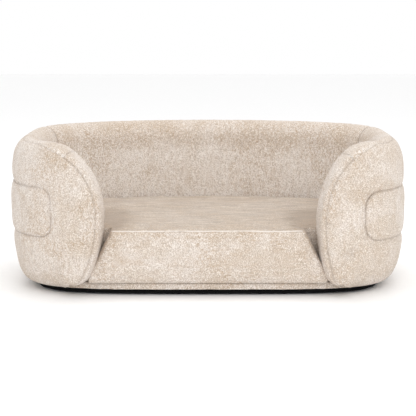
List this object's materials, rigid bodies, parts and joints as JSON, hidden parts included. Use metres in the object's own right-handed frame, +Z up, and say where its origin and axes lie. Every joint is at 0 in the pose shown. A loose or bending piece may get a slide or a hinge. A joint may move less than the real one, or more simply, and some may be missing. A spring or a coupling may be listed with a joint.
{
  "type": "dog bed",
  "caption": "Oval upholstered pet sofa bed: padded wall on a low plinth, open front and loose zipped box cushion.",
  "frame": {"origin": "on the floor under the middle of the bed's box", "axes": "+X to the right seen from the open front, +Y to the back, +Z up"},
  "size_m": [0.889, 0.5796, 0.336],
  "materials": {
    "chenille": "matte",
    "cushion_chenille": "matte",
    "black_cloth": "matte",
    "plywood": "matte",
    "timber": "matte",
    "foam": "matte",
    "rubber": "matte",
    "steel": "satin",
    "zip_metal": "satin",
    "zip_tape": "matte"
  },
  "bodies": {
    "bed": {"outer_cover": "chenille", "lining_back": "chenille", "lining_left": "chenille", "lining_right": "chenille", "end_band_left": "chenille", "end_band_right": "chenille", "side_pad_left": "chenille", "side_pad_right": "chenille", "front_rail_cover": "chenille", "plinth_board": "black_cloth", "seat_deck_cloth": "black_cloth", "base_board": "plywood", "back_panel": "plywood", "side_panel_left": "plywood", "side_panel_right": "plywood", "cleat_back": "timber", "cleat_left": "timber", "cleat_right": "timber", "splice_block_left": "timber", "splice_block_right": "timber", "end_post_left": "timber", "end_post_right": "timber", "outer_foam_back": "foam", "outer_foam_left": "foam", "outer_foam_right": "foam", "inner_foam_back": "foam", "inner_foam_left": "foam", "inner_foam_right": "foam", "arm_end_foam_left": "foam", "arm_end_foam_right": "foam", "non_slip_foot_1": "rubber", "non_slip_foot_2": "rubber", "non_slip_foot_3": "rubber", "non_slip_foot_4": "rubber", "non_slip_foot_5": "rubber", "non_slip_foot_6": "rubber", "cleat_screw_1": "steel", "cleat_screw_2": "steel", "cleat_screw_3": "steel", "cleat_screw_4": "steel", "cleat_screw_5": "steel", "cleat_screw_6": "steel", "cleat_screw_7": "steel"},
    "cushion": {"cushion_cover": "cushion_chenille", "cushion_foam": "foam", "zip_tape": "zip_tape"},
    "zip_slider": {"zip_slider": "zip_metal", "zip_pull": "zip_metal"}
  },
  "joints": [
    {"name": "cushion_lift", "type": "slide", "parent": "bed", "child": "cushion", "axis": [0, 0, 1], "range_m": [0, 0.32]},
    {"name": "zip_slide", "type": "hinge", "parent": "cushion", "child": "zip_slider", "pos_m": [0, -0.424, 0.086], "axis": [0, 0, 1], "range_deg": [0, 32]}
  ]
}
